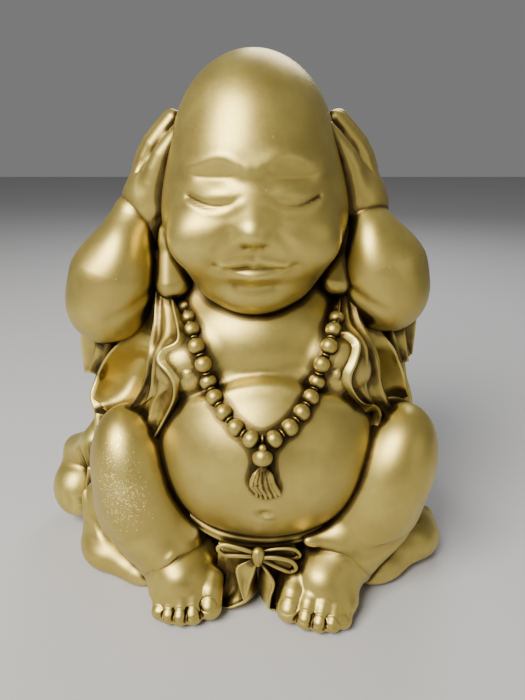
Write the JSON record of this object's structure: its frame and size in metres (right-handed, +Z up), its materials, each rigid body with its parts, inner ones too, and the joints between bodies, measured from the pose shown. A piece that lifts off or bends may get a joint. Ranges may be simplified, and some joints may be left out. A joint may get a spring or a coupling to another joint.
{
  "type": "buddha statue",
  "caption": "Seated round-bellied figure in gold-painted cast resin, hands held over its ears, with an open robe and a bead necklace.",
  "frame": {"origin": "on the flat underside of the felt, under the figure", "axes": "+Z up, the figure faces -Y, its right hand is at -X"},
  "size_m": [0.2608, 0.1889, 0.284],
  "materials": {
    "gold_skin": "satin",
    "gold_robe": "satin",
    "bare_resin": "matte",
    "felt": "matte"
  },
  "bodies": {
    "root": {"head_casting": "gold_skin", "torso_casting": "gold_skin", "right_ear": "gold_skin", "left_ear": "gold_skin", "right_arm": "gold_skin", "left_arm": "gold_skin", "right_hand": "gold_skin", "left_hand": "gold_skin", "right_leg": "gold_skin", "left_leg": "gold_skin", "right_foot": "gold_skin", "left_foot": "gold_skin", "robe_back": "gold_robe", "robe_right_side": "gold_robe", "robe_left_side": "gold_robe", "right_sleeve": "gold_robe", "left_sleeve": "gold_robe", "right_lapel": "gold_robe", "left_lapel": "gold_robe", "right_hem_roll": "gold_robe", "left_hem_roll": "gold_robe", "front_skirt": "gold_robe", "waistband": "gold_robe", "sash_knot": "gold_robe", "sash_loops": "gold_robe", "sash_tails": "gold_robe", "necklace_beads": "gold_skin", "guru_bead": "gold_skin", "tassel": "gold_skin", "base_plate": "bare_resin", "base_felt": "felt"}
  },
  "joints": []
}
